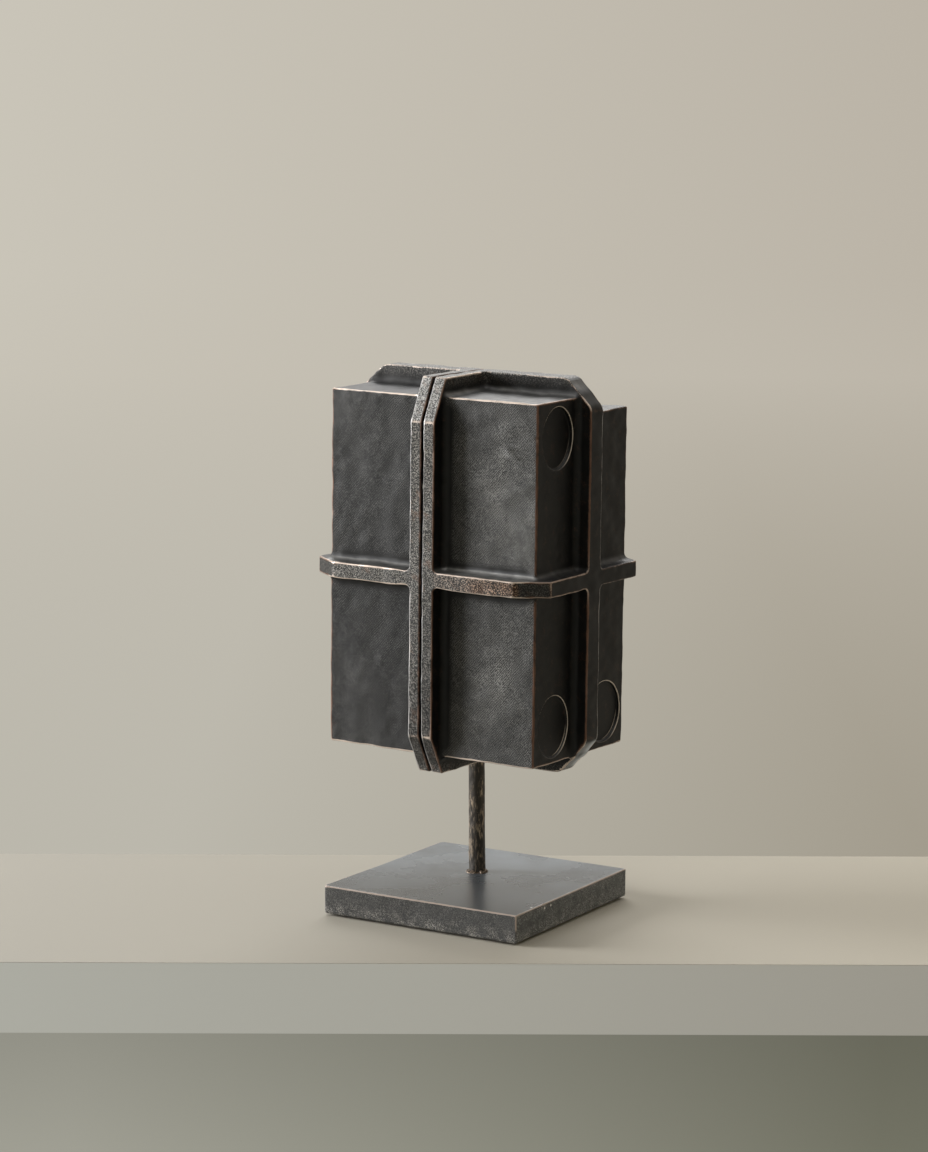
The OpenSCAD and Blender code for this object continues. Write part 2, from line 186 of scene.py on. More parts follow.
# ---- The castings --------------------------------------------------------------------------------
def blocks(x, y, z):
    """The front block and the lower rear one, without the flanges."""
    depth = slab(x, FACE + 2, END)
    front = both(both(depth, slab(y, -SIDE, 2), EDGE_R + 0.1), slab(z, FLOOR, TOP), EDGE_R)
    depth = slab(x, FACE + 2, END + 0.5)
    rear = both(both(depth, slab(y, -2, SIDE), EDGE_R + 0.1), slab(z, FLOOR, REAR_TOP), EDGE_R)
    return np.minimum(front, rear)


def outline(x, y, z, top):
    """A box up to a given top, whose corners are cut."""
    out = np.abs(y)
    space = both(slab(z, RIDGE_LOW, top), np.maximum(out - REACH_Y, x - REACH_X), RIM_R)
    space = both(space, bevel(out, z, REACH_Y, top, *PARTING_TOP_CUT), RIM_R)
    space = both(space, bevel(out, -z, REACH_Y, -RIDGE_LOW, *PARTING_FOOT_CUT), RIM_R)
    space = both(space, bevel(x, z, REACH_X, RIDGE_HIGH, *UPRIGHT_TOP_CUT), CUT_R)
    space = both(space, bevel(x, -z, REACH_X, -RIDGE_LOW, *UPRIGHT_FOOT_CUT), CUT_R)
    return both(space, bevel(x, out, REACH_X, REACH_Y, *BELT_CUT), RIM_R)


def reach(x, y, z):
    """The space that the flanges fill, in two steps: the ridge in front and the lower one behind."""
    front = both(outline(x, y, z, RIDGE_HIGH), y - CROSS_T / 2, RIM_R)
    return np.minimum(front, outline(x, y, z, RIDGE_HIGH - REAR_DROP))


def flanges(x, y, z):
    """The parting flange, the upright flange along X and the level belt, in one."""
    parting = slab(x, FACE, FACE + PARTING_T)
    start = FACE + PARTING_T / 2 - x
    upright = np.maximum(np.abs(y) - CROSS_T / 2, start)
    belt = np.maximum(slab(z, BELT_LOW - 0.6 * above(x, 8, 20), BELT_HIGH), start)
    plates = join(join(parting, upright, CROSSING_R), belt, CROSSING_R)
    return both(reach(x, y, z), plates, RIM_R)


def cavity(p):
    """The hollow of a casting, open towards the parting face."""
    x, y, z = p.T
    wide = both(slab(x, -20, END - WALL), np.abs(y) - (SIDE - WALL), 1)
    front = both(np.maximum(wide, y), slab(z, FLOOR + WALL, TOP - WALL), 1)
    rear = both(wide, slab(z, FLOOR + WALL, REAR_TOP - WALL), 1)
    return np.minimum(front, rear)


# Where the cover screws' bosses stand, in Y and Z
BOSSES = [(side * (SIDE - WALL - BOSS_IN), z) for side, z in
          ((-1, FLOOR + WALL + BOSS_IN), (1, FLOOR + WALL + BOSS_IN),
           (-1, TOP - WALL - BOSS_IN), (1, REAR_TOP - WALL - BOSS_IN))]


def fittings(p, solid, fixed):
    """Adds a casting's bosses and seats and drills its holes."""
    x, y, z = p.T
    for by, bz in BOSSES:
        boss = np.maximum(rod_x(p, by, bz, BOSS_R), slab(x, COVER_X + 1.5, COVER_X + 13.5))
        hole = np.maximum(rod_x(p, by, bz, TAPPED_R), slab(x, -5, COVER_X + 11.5))
        solid = np.maximum(join(solid, boss, 0.4), -hole)
    for side in (-1, 1):
        for rise in MAGNET_RISES:
            hole = rod_x(p, side * MAGNET_Y, BELT_Z + rise, MAGNET_HOLE_R)
            solid = cut(solid, np.maximum(hole, x - FACE - MAGNET_HOLE_DEPTH), HOLE_EDGE_R)
    for dy, dz in DOWELS:
        hole = rod_x(p, dy, dz, DOWEL_HOLE_R if fixed else BUSH_HOLE_R)
        solid = cut(solid, np.maximum(hole, x - FACE - DOWEL_HOLE_DEPTH), HOLE_EDGE_R)
    if fixed:
        for (sx, sy, sz), shift, wide in SEATS:
            holder = np.maximum(rod_x(p, sy, sz, 14.5), slab(x, sx - 3, END - 2))
            pocket = np.maximum(rod_x(p, sy, sz, 12.03), slab(x, sx - 9, sx + 2))
            solid = np.maximum(join(solid, holder, 0.5), -pocket)
            mouth = (np.hypot((y - sy - shift) / wide, z - sz) - SEAT_R) * wide
            seat = both(mouth, END - SEAT_DEPTH - x, 0.5)
            solid = cut(solid, seat, 0.55)
    bore = np.maximum(np.hypot(x, y) - POST_R - 1, z - FLOOR - WALL - 1)
    return cut(solid, bore, 0.3)


def outer_form(p):
    """A casting without its hollow, as drawn."""
    x, y, z = p.T
    return join(flanges(x, y, z), blocks(x, y, z), COVE_R)


def worked_form(p, seed, dents):
    """The same with the unevenness of handwork, and its dents and nicks."""
    q = wobble(p, 26, 0.13, seed)
    q = wobble(q, 5, 0.07, seed + 10)
    solid = outer_form(q) + 0.10 * ripple(p, 9, seed + 20) + 0.03 * ripple(p, 3.2, seed + 21)
    for centre, r, depth, lip in dents:
        solid = solid + dent(p, centre, r, depth, lip)
    return solid


# Centre, radius, depth and lip of each dent in the long front faces and their edges
FIXED_DENTS = [((42.5, -SIDE, 216), 2.0, 0.5, 0.5), ((END, -SIDE, 223.5), 1.5, 0.5, 0),
               ((50.5, -REACH_Y + 0.5, BELT_HIGH), 0.9, 0.6, 0),
               ((46, -SIDE, 196), 3.4, 0.16, 0), ((16, -SIDE, 120), 3.5, 0.18, 0),
               ((38, -SIDE, 139), 3, 0.16, 0), ((END, -SIDE, 88), 1.6, 0.3, 0),
               ((33, -SIDE, FLOOR), 1.4, 0.3, 0), ((21, -SIDE, TOP), 1.6, 0.3, 0)]
LOOSE_DENTS = [((51, -SIDE, 206), 3, 0.3, 0), ((22, -SIDE, 203), 5, 0.3, 0),
               ((40, -SIDE, 172), 4, 0.2, 0), ((30, -SIDE, 128), 4, 0.22, 0),
               ((END, -SIDE, 182), 1.4, 0.35, 0), ((30, -SIDE, TOP), 1.8, 0.3, 0)]


def plumb(p, fixed):
    """Where points of a leaning casting stand in the upright head."""
    shift = (p[:, 2:] - BELT_Z) * LEAN * (1 if fixed else -1, 1)
    return p + np.hstack([shift, np.zeros((len(p), 1))])


def casting(p, solid, fixed):
    """An outer form, which leans, with a casting's upright hollow and fittings."""
    q = plumb(p, fixed)
    return fittings(q, cut(solid, cavity(q), 0.4), fixed)


# ---- The castings' forms, as drawn and as worked; the loose one lies on +X too, as in a mirror
def fixed_plain(p):
    return casting(p, outer_form(p), True)


def fixed_worked(p):
    return casting(p, worked_form(p, 100, FIXED_DENTS), True)


def loose_plain(p):
    return casting(p, outer_form(p), False)


def loose_worked(p):
    return casting(p, worked_form(p, 300, LOOSE_DENTS), False)


def ruler(start, end, keys, zones=(), fine=0.4, coarse=3.2):
    """Grid lines from start to end, close together at the keys and, as each says, in the zones."""
    places = [start]
    while places[-1] < end:
        t = places[-1]
        step = min(fine + 0.33 * max(abs(t + fine - key) - 0.9, 0) for key in keys)
        for zone_start, zone_end, most in zones:
            if zone_start <= t <= zone_end:
                step = min(step, most)
        places.append(t + min(step, coarse))
    return np.array(places)


def skin(field, rulers):
    """Vertices and quads of the surface where field is 0, with one vertex in each cell it crosses."""
    shape = np.array([len(r) for r in rulers])
    grid = np.stack(np.meshgrid(*rulers, indexing="ij"), -1)
    value = field(grid.reshape(-1, 3)).reshape(shape)
    cells = shape - 1
    places, owners, quads = [], [], []
    for axis in range(3):
        along = np.eye(3, dtype=int)[axis]
        u, v = (axis + 1) % 3, (axis + 2) % 3
        first = value[tuple(slice(0, n - d) for n, d in zip(shape, along))]
        second = value[tuple(slice(d, None) for d in along)]
        at = np.argwhere((first < 0) != (second < 0))
        at = at[(at[:, u] > 0) & (at[:, v] > 0) & (at[:, u] < shape[u] - 1) & (at[:, v] < shape[v] - 1)]
        a, b = value[tuple(at.T)], value[tuple((at + along).T)]
        share = (a / (a - b))[:, None]
        place = grid[tuple(at.T)] * (1 - share) + grid[tuple((at + along).T)] * share
        ring = []
        for du, dv in ((-1, -1), (0, -1), (0, 0), (-1, 0)):
            cell = at.copy()
            cell[:, u] += du
            cell[:, v] += dv
            ring.append(np.ravel_multi_index(tuple(cell.T), tuple(cells)))
            places.append(place)
            owners.append(ring[-1])
        ring = np.stack(ring, 1)
        quads.append(np.where((a < 0)[:, None], ring, ring[:, ::-1]))
    owners, places = np.concatenate(owners), np.concatenate(places)
    used, index = np.unique(owners, return_inverse=True)
    count = np.bincount(index)
    points = np.stack([np.bincount(index, places[:, i]) / count for i in range(3)], 1)
    return points, np.searchsorted(used, np.concatenate(quads))


def slope(field, points, step=0.06):
    """Gradient of a field."""
    total = np.zeros_like(points)
    for k in ((1, -1, -1), (-1, -1, 1), (-1, 1, -1), (1, 1, 1)):
        total += np.array(k) * field(points + step * np.array(k))[:, None]
    return total / (4 * step)


def settle(field, points, rounds=3):
    """Points drawn onto the surface."""
    for _ in range(rounds):
        g = slope(field, points)
        move = (field(points) / np.maximum((g * g).sum(1), 0.2))[:, None] * g
        points = points - np.clip(move, -0.5, 0.5)
    return points


def bulge(field, points, span):
    """1 at a sharp outer edge, 0 on flats and -1 in a sharp inner corner, felt over span."""
    total = -8 * field(points)
    for sx in (-1, 1):
        for sy in (-1, 1):
            for sz in (-1, 1):
                total = total + field(points + span * np.array((sx, sy, sz)) / 3 ** 0.5)
    return total / 8 / (0.289 * span)


def flatten_inside(points, quads, inside):
    """Joins the quads that lie flat inside a hollow into large faces."""
    mesh = bmesh.new()
    verts = [mesh.verts.new(p) for p in points]
    for quad in quads.tolist():
        mesh.faces.new([verts[i] for i in quad])
    mesh.verts.index_update()
    hidden = [v for v in mesh.verts if inside[v.index]]
    edges = [e for e in mesh.edges if inside[e.verts[0].index] and inside[e.verts[1].index]]
    bmesh.ops.dissolve_limit(mesh, angle_limit=math.radians(1.5), verts=hidden, edges=edges,
                             use_dissolve_boundaries=False)
    return mesh


def no_traits(points, normals):
    """For a piece whose finish is the same all over."""
    return {}


def piece(name, plain, worked, rulers, place, body, replaced, material, traits=no_traits,
          fixed=True, hollow=None):
    """Skins a plain form, draws the skin onto the worked form, and hangs the piece on its body.

    A casting comes with the function that finds its hollow; it leans, and the loose one is mirrored.
    """
    points, quads = skin(plain, rulers)
    points = settle(worked, points)
    mesh = bpy.data.meshes.new(name)
    if hollow is None:
        mesh.from_pydata(points.tolist(), [], quads.tolist())
    else:
        shape = flatten_inside(points, quads, hollow(plumb(points, fixed)))
        shape.to_mesh(mesh)
        shape.free()
        points = np.empty(len(mesh.vertices) * 3)
        mesh.vertices.foreach_get("co", points)
        points = points.reshape(-1, 3)
    normals = slope(worked, points)
    normals /= np.linalg.norm(normals, axis=1)[:, None]
    for trait, values in traits(points, normals).items():
        mesh.attributes.new(trait, "FLOAT", "POINT").data.foreach_set("value", values)
    flip = np.array((1 if fixed else -1, 1, 1))
    if hollow is not None:
        points = plumb(points, fixed)
    mesh.vertices.foreach_set("co", (points * flip * MM).ravel())
    if not fixed:
        mesh.flip_normals()
    mesh.shade_smooth()
    mesh.normals_split_custom_set_from_vertices(normals * flip)
    mesh.materials.append(material)
    made = bpy.data.objects.new(name, mesh)
    bpy.context.scene.collection.objects.link(made)
    made.matrix_world = place
    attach(made, body)
    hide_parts(*replaced)


def casting_traits(points, normals):
    """What the patina follows: at each vertex one number for each of these.

    edge: a worn outer edge; pale: worn to bare metal, where 0 leaves it reddish. form: from 1 at
    outer edges to -1 in inner corners. cloth: a brushed long face; tone: how light it is, with a
    faint painted highlight in the middle of the long faces. rim: the flanges' rubbed outer faces,
    fewer low down, and kept faint as painted shade on the upright flange and where they face neither
    front nor rear. frost: those that face upward, with lighter specks as painted light. ridge: what
    stands over and under the blocks. crown: upward faces and coves, with painted light where light
    falls on them.
    """
    x, y, z = points.T
    facing = np.abs(normals)
    at_rim = above(reach(x, y, z), -1.0, -0.4)
    # Few specks, as painted shade, on rims that face neither front nor rear and on the upright flange
    outer = above(facing[:, 1], 0.3, 0.6) * (1 - 0.72 * above(x, REACH_X - 15, REACH_X - 13))
    ridge_top = above(normals[:, 2], 0.8, 0.95) * above(z, TOP + 4, TOP + 5)
    rim = at_rim * np.maximum(outer, 0.75 * ridge_top) * (0.52 + 0.48 * above(z, FLOOR, BELT_Z + 20))
    crest = (near(z, RIDGE_HIGH - PARTING_TOP_CUT[1], 0.8)
             + near(z, RIDGE_LOW + PARTING_FOOT_CUT[1], 0.8))
    ridge = above(z, TOP + 1.5, RIDGE_HIGH - 1) + above(-z, -FLOOR + 1.5, -RIDGE_LOW - 1)
    cove = near(z, BELT_HIGH + 1.25, 4)
    # Painted light: upward faces and the coves over the belt are painted lighter, less so at the ends
    painted_top_light = above(normals[:, 2], 0.15, 0.7) * (0.7 + 0.3 * cove) * (1 - 0.8 * rim)
    painted_top_light = painted_top_light * (1 - 0.55 * above(x, END - 1, END + 2))
    out = np.abs(y)
    block = above(out, SIDE - 1.5, SIDE - 0.4) * (1 - above(out, SIDE + 0.8, SIDE + 1.6))
    below = above(-z, -FLOOR - 1.2, -FLOOR - 0.2)
    rear_end = above(y, CROSS_T / 2 + 1, CROSS_T / 2 + 2) * above(x, END - 3, END - 1)
    end_ridge = above(z, TOP, TOP + 1) * above(x, 8, 12)
    faint = (1 - 0.45 * rear_end) * (1 - 0.35 * end_ridge) * (1 + 0.4 * below)
    # The cut corners' crests get extra pale wear, partly a painted highlight
    edge = np.clip(bulge(outer_form, points, 0.8), 0, 1) + 0.2 * crest * rim
    side_edge = above(x, END - 4, END - 1.5) * (1 - above(facing[:, 2], 0.1, 0.5)) * (1 - below)
    side_edge = side_edge * (1 - 0.75 * near(z, BELT_Z, BELT_T) * above(x, END, END + 2))
    return {
        "edge": np.clip(edge * faint, 0, 1),
        "form": np.clip(bulge(outer_form, points, 5), -1, 1),
        "cloth": above(facing[:, 1], 0.6, 0.95) * block * (1 - above(x, END + 0.2, END + 0.8)),
        # tone: a faint painted highlight in the middle of the long faces
        "tone": 0.21 + 0.04 * near(x, 0.7 * END, 17),
        "rim": rim,
        # frost: lighter specks on upward rim faces, as painted light
        "frost": rim * above(normals[:, 2], 0.2, 0.4),
        "ridge": np.clip(ridge, 0, 1),
        "painted_top_light": painted_top_light,
        "pale": (1 - side_edge) * (1 - 0.5 * above(x, END - 1.5, END) * above(out, 6, 7)),
    }


def flange_lines(x, y):
    """Where the parting flange's long edges lie: at the gap, and away from it."""
    beside = above(np.abs(y), SIDE - 2, SIDE)
    return near(x, FACE, 1.0), near(x, FACE + PARTING_T, 1.0) * beside


def fixed_traits(points, normals):
    """The same for the fixed half, with a painted broad highlight on its long faces, and with these.

    copper: the belt's reddish front. seat: the end face round the seats. shade: painted shade on the
    ridge towards the fixed half's end. cold: edges without any red. sheen: the upright flange's lower
    corner, with a painted reflection of the shelf's light.
    """
    traits = casting_traits(points, normals)
    x, y, z = points.T
    gap_line, far_line = flange_lines(x, y)
    belt_front = near(z, BELT_Z, BELT_T) * above(-y, REACH_Y - 2, REACH_Y - 1)
    traits["rim"] *= 1 - 0.5 * belt_front * above(x, 18, REACH_X - 14)
    traits["rim"] *= 1 - 0.25 * above(-z, -BELT_Z, 20 - BELT_Z)
    traits["copper"] = belt_front * (0.4 * above(x, 5, 9) + 0.6 * above(x, 12, 40))
    traits["seat"] = above(x, END - 2.2, END - 1.2) * (1 - above(x, END + 0.5, END + 1))
    # Painted shade on the ridge towards the fixed half's end
    traits["shade"] = above(x, 8, 16)
    # A painted broad highlight on the long faces, strongest above and below the belt
    painted_highlight_rows = 0.15 + 1.1 * near(z, BELT_Z + 36, 24) + 0.6 * near(z, BELT_Z - 36, 24)
    traits["tone"] = 0.48 + 0.62 * near(x, 0.72 * END, 14) * painted_highlight_rows
    # Stronger painted light on the fixed half's upward faces
    traits["painted_top_light"] *= 1.25
    traits["cold"] = above(x, REACH_X - 2.5, REACH_X - 1) * near(y, CROSS_T / 2, 1.5) + gap_line
    traits["edge"] *= 1 - 0.25 * gap_line - 0.25 * far_line
    traits["pale"] *= 1 - far_line
    # A painted reflection of the shelf's light, weaker at the front
    traits["painted_sheen"] = (above(-normals[:, 2], 0.3, 0.6) * above(x, REACH_X - 14, REACH_X - 11)
                       * above(-np.abs(y), -CROSS_T / 2 - 0.5, -CROSS_T / 2 + 0.5)
                       * (0.4 + 0.6 * above(y, -1, 4)))
    return traits


def loose_traits(points, normals):
    """The same for the loose half."""
    traits = casting_traits(points, normals)
    x, y, z = points.T
    gap_line, far_line = flange_lines(x, y)
    traits["edge"] *= 1 - 0.5 * gap_line - 0.2 * far_line
    traits["pale"] *= 1 - gap_line
    traits["tone"] += 0.09 * above(z, BELT_Z + 35, TOP)
    traits["cold"] = far_line
    for name in ("seat", "copper", "shade", "painted_sheen"):
        traits[name] = np.zeros(len(points))
    return traits


# ---- Materials -----------------------------------------------------------------------------------
class Finish:
    """A Principled material; every input takes a number, a colour or another node's output."""

    def __init__(self, name, **inputs):
        self.material = bpy.data.materials.new(name)
        self.material.use_nodes = True
        self.tree = self.material.node_tree
        self.shader = self.tree.nodes["Principled BSDF"]
        self.where = self.add("TexCoord", out="Object")
        self.set(**inputs)

    def put(self, socket, value):
        """Links or sets one input."""
        if isinstance(value, bpy.types.NodeSocket):
            self.tree.links.new(value, socket)
        elif isinstance(value, (tuple, list)) and len(value) == 3 and socket.type == "RGBA":
            socket.default_value = (*value, 1)
        else:
            socket.default_value = value

    def set(self, **inputs):
        for name, value in inputs.items():
            self.put(self.shader.inputs[name.replace("_", " ")], value)

    def add(self, kind, *inputs, out=0, **settings):
        """A new node's output; None leaves an input as it is."""
        node = self.tree.nodes.new("ShaderNode" + kind)
        for name, value in settings.items():
            setattr(node, name, value)
        for socket, value in zip(node.inputs, inputs):
            if value is not None:
                self.put(socket, value)
        return node.outputs[out]

    def trait(self, name):
        return self.add("Attribute", out="Fac", attribute_name=name)

    def sum(self, a, b):
        return self.add("Math", a, b, operation="ADD")

    def times(self, a, b):
        return self.add("Math", a, b, operation="MULTIPLY")

    def span(self, value, start, end, low=0.0, high=1.0):
        """The value, moved from start to end onto low to high and kept within them."""
        return self.add("MapRange", value, start, end, low, high)

    def mix(self, share, a, b):
        node = self.tree.nodes.new("ShaderNodeMix")
        node.data_type = "RGBA"
        for socket, value in zip((node.inputs[0], node.inputs[6], node.inputs[7]), (share, a, b)):
            self.put(socket, value)
        return node.outputs[2]

    def turned(self, turn, stretch):
        """The place on the piece, turned by the angles in degrees and then stretched."""
        turned = self.add("Mapping", self.where, None, [math.radians(t) for t in turn], (1, 1, 1))
        return self.add("Mapping", turned, None, (0, 0, 0), stretch)

    def noise(self, size, detail=2.0, rough=0.5, where=None):
        """Noise from 0 to 1 with features about size millimetres across."""
        return self.add("TexNoise", where or self.where, None, 1 / (size * MM), detail, rough)

    def bands(self, spacing, turn):
        """Ragged strokes that many millimetres apart, across the piece's turned X axis."""
        node = self.tree.nodes.new("ShaderNodeTexWave")
        node.bands_direction = "X"
        scale = 2 * math.pi / 20 / spacing / MM
        distortion, detail, detail_scale, detail_rough = 3.5, 2.0, 1.2, 0.6
        values = (self.turned(turn, (1, 1, 1)), scale, distortion, detail, detail_scale, detail_rough)
        for socket, value in zip(node.inputs, values):
            self.put(socket, value)
        return node.outputs["Fac"]

    def bump(self, height, depth):
        """Dents of up to depth millimetres."""
        node = self.tree.nodes.new("ShaderNodeBump")
        node.inputs["Strength"].default_value = 1.0
        node.inputs["Distance"].default_value = depth * MM
        self.put(node.inputs["Height"], height)
        self.put(self.shader.inputs["Normal"], node.outputs[0])


def seat_rings_and_painted_glints(f):
    """Thin pale lines round the seats' mouths, brightest towards the top and rear as a painted glint,
    and, at the lower right, a painted highlight inside them.
    """
    depth = f.add("VectorMath", f.where, (1, 0, -LEAN[0]), operation="DOT_PRODUCT", out="Value")
    face = END - LEAN[0] * BELT_Z
    mouth = f.span(depth, (face - 0.5) * MM, (face - 0.25) * MM)
    total = 0.0
    for middle, shift, wide in SEATS:
        centre = (0, (middle[1] + shift) * MM, middle[2] * MM)
        away = f.add("VectorMath", f.where, centre, operation="SUBTRACT")
        away = f.add("VectorMath", away, (0, 1 / wide, 1), operation="MULTIPLY")
        length = f.add("VectorMath", away, operation="LENGTH", out="Value")
        up, down = (f.add("VectorMath", away, (0, 0.707 / SEAT_R / MM, rise / SEAT_R / MM),
                          operation="DOT_PRODUCT", out="Value") for rise in (0.707, -0.707))
        # The outer line fades towards the front and bottom; the inner one is a painted highlight at the
        # lower rear
        outer = (SEAT_R + 0.3, f.span(up, -0.5, 0.0, 0.1, 0.9), mouth)
        inner = (SEAT_R - 0.6, f.span(down, 0.72, 0.95), f.span(mouth, 0, 1, 1, 0))
        for radius, share, where in (outer, inner):
            off = f.add("Math", length, radius * MM, operation="SUBTRACT")
            line = f.span(f.add("Math", off, operation="ABSOLUTE"), 0.08 * MM, 0.26 * MM, 1, 0)
            total = f.sum(total, f.times(f.times(line, share), where))
    return total


def patinated_bronze():
    """Dark patina on bronze: brushed crosswise on the long faces, rubbed pale at edges and rims, with
    painted light, shade and reflection where the lamps fall.
    """
    f = Finish("patinated_bronze", Specular_IOR_Level=0.3)
    edge, form, cloth, tone, rim, ridge, painted_top_light = (
        f.trait(name) for name in ("edge", "form", "cloth", "tone", "rim", "ridge", "painted_top_light"))
    pale, seat, copper, shade, cold, painted_sheen, frost = (
        f.trait(name) for name in ("pale", "seat", "copper", "shade", "cold", "painted_sheen", "frost"))
    fleck = f.noise(0.4, 2, 0.6)
    strokes = f.sum(f.times(f.bands(0.8, (0, 45, 0)), 0.17), f.times(f.bands(0.95, (0, -45, 0)), 0.13))
    weave = f.sum(strokes, f.times(fleck, 1.03))
    grain = f.noise(0.6, 3, 0.75)
    cloud = f.noise(14, 5, 0.6)
    wide = f.noise(30, 2, 0.5)
    smear = f.noise(4, 4, 0.6, f.turned((0, 45, 0), (1, 1, 0.5)))

    # The dark patina, and the brushed long faces, lighter where tone holds its painted highlight
    dark = f.mix(f.span(cloud, 0.35, 0.65), (0.0040, 0.0042, 0.0048), (0.0094, 0.0089, 0.0088))
    sparse = f.span(tone, 0.2, 0.5, 0.67, 0.56)
    brushed = f.mix(f.span(weave, sparse, 0.90), (0.010, 0.0105, 0.012), (0.47, 0.465, 0.45))
    patch = f.times(f.span(cloud, 0.36, 0.66, 0.62, 1.12), f.span(smear, 0.3, 0.7, 0.74, 1.06))
    patch = f.times(patch, f.span(wide, 0.35, 0.65, 0.80, 1.15))
    strength = f.add("Math", tone, f.span(tone, 0.2, 0.5, 0.40, 0.5), operation="MAXIMUM")
    share = f.times(cloth, f.span(form, -0.5, 0.05))
    body = f.mix(share, dark, f.mix(f.times(patch, strength), (0.0085, 0.009, 0.0105), brushed))

    # Speckled rims and ridges, with painted shade on part of the ridge, the belt's copper tinge,
    # painted light on the upward faces and coves, and a painted reflection on the upright flange's foot
    lifted = f.sum(grain, f.times(frost, 0.035))
    speck = f.mix(f.span(lifted, 0.50, 0.58), f.mix(frost, (0.050, 0.050, 0.050), (0.10, 0.102, 0.105)),
                  f.mix(frost, (0.60, 0.57, 0.53), (0.95, 0.94, 0.92)))
    speck = f.mix(f.span(fleck, 0.36, 0.46, 0.8, 0), speck, (0.015, 0.015, 0.015))
    speck = f.mix(f.span(smear, 0.58, 0.66, 0, 0.3), speck, (0.36, 0.20, 0.13))
    body = f.mix(f.times(rim, f.span(cloud, 0.3, 0.7, 0.6, 0.95)), body, speck)
    # Fewer specks on the ridge's sides, and fewer still as painted shade where shade is set
    side = f.times(f.times(ridge, f.span(painted_top_light, 0, 0.6, 1, 0)), f.span(shade, 0, 1, 0.45, 0.25))
    body = f.mix(side, body, f.mix(0.2, speck, (0.03, 0.034, 0.042)))
    body = f.mix(f.times(copper, f.span(smear, 0.36, 0.60, 0.1, 0.85)), body, (0.050, 0.024, 0.014))
    body = f.mix(f.times(copper, f.span(grain, 0.53, 0.59, 0.0, 0.8)), body, (0.72, 0.48, 0.34))
    # The pale grey of the painted light on upward faces and coves
    lit = f.mix(f.span(painted_top_light, 0.72, 1.0), (0.19, 0.192, 0.20), (0.40, 0.40, 0.40))
    body = f.mix(f.times(painted_top_light, f.span(smear, 0.3, 0.7, 0.5, 0.9)), body, lit)
    # A pale blue painted reflection of the shelf's light on the upright flange's lower corner
    body = f.mix(f.times(painted_sheen, f.span(cloud, 0.3, 0.7, 0.7, 1.0)), body, (0.62, 0.67, 0.74))

    # Edges worn to bare metal, reddish beside it, and the seats' rings, worn and with painted glints
    rough = f.sum(f.span(smear, 0.3, 0.7, -0.11, 0.10), f.span(grain, 0.3, 0.7, -0.11, 0.10))
    ragged = f.times(rough, f.sum(f.span(ridge, 0, 1, 1, 2.2), f.span(pale, 0, 1, 0.7, 0)))
    rubbed = f.sum(edge, ragged)
    halo = f.times(f.span(rubbed, 0.08, 0.34), f.span(pale, 0, 1, 1, 0))
    body = f.mix(halo, body, (0.075, 0.038, 0.025))
    worn = f.span(rubbed, 0.33, 0.56)
    bare = f.mix(pale, (0.18, 0.10, 0.070), (0.78, 0.66, 0.58))
    bare = f.mix(cold, bare, (0.38, 0.39, 0.405))
    # The seats' rings: worn pale lines, with painted glints and a painted highlight
    ring = f.times(f.times(seat, seat_rings_and_painted_glints(f)), f.span(grain, 0.3, 0.6, 0.7, 1))
    f.set(Base_Color=f.mix(ring, f.mix(worn, body, bare), (0.92, 0.82, 0.73)))
    f.set(Metallic=f.span(f.sum(f.sum(f.times(worn, 0.6), painted_top_light), f.sum(painted_sheen, ring)), 0, 1, 0, 0.8))
    f.set(Roughness=f.span(f.sum(worn, f.times(grain, 0.5)), 0, 1.5, 0.50, 0.36))
    f.bump(f.sum(f.times(weave, f.span(cloth, 0, 1, 0.15, 0.6)), f.times(grain, 0.35)), 0.08)
    return f.material


# White specks on the plate and their radii
SPOTS = [((50.3, -25, 11.9), 0.7), ((50.3, -19.5, 12.0), 0.65), ((48.6, -34, 14), 0.65)]


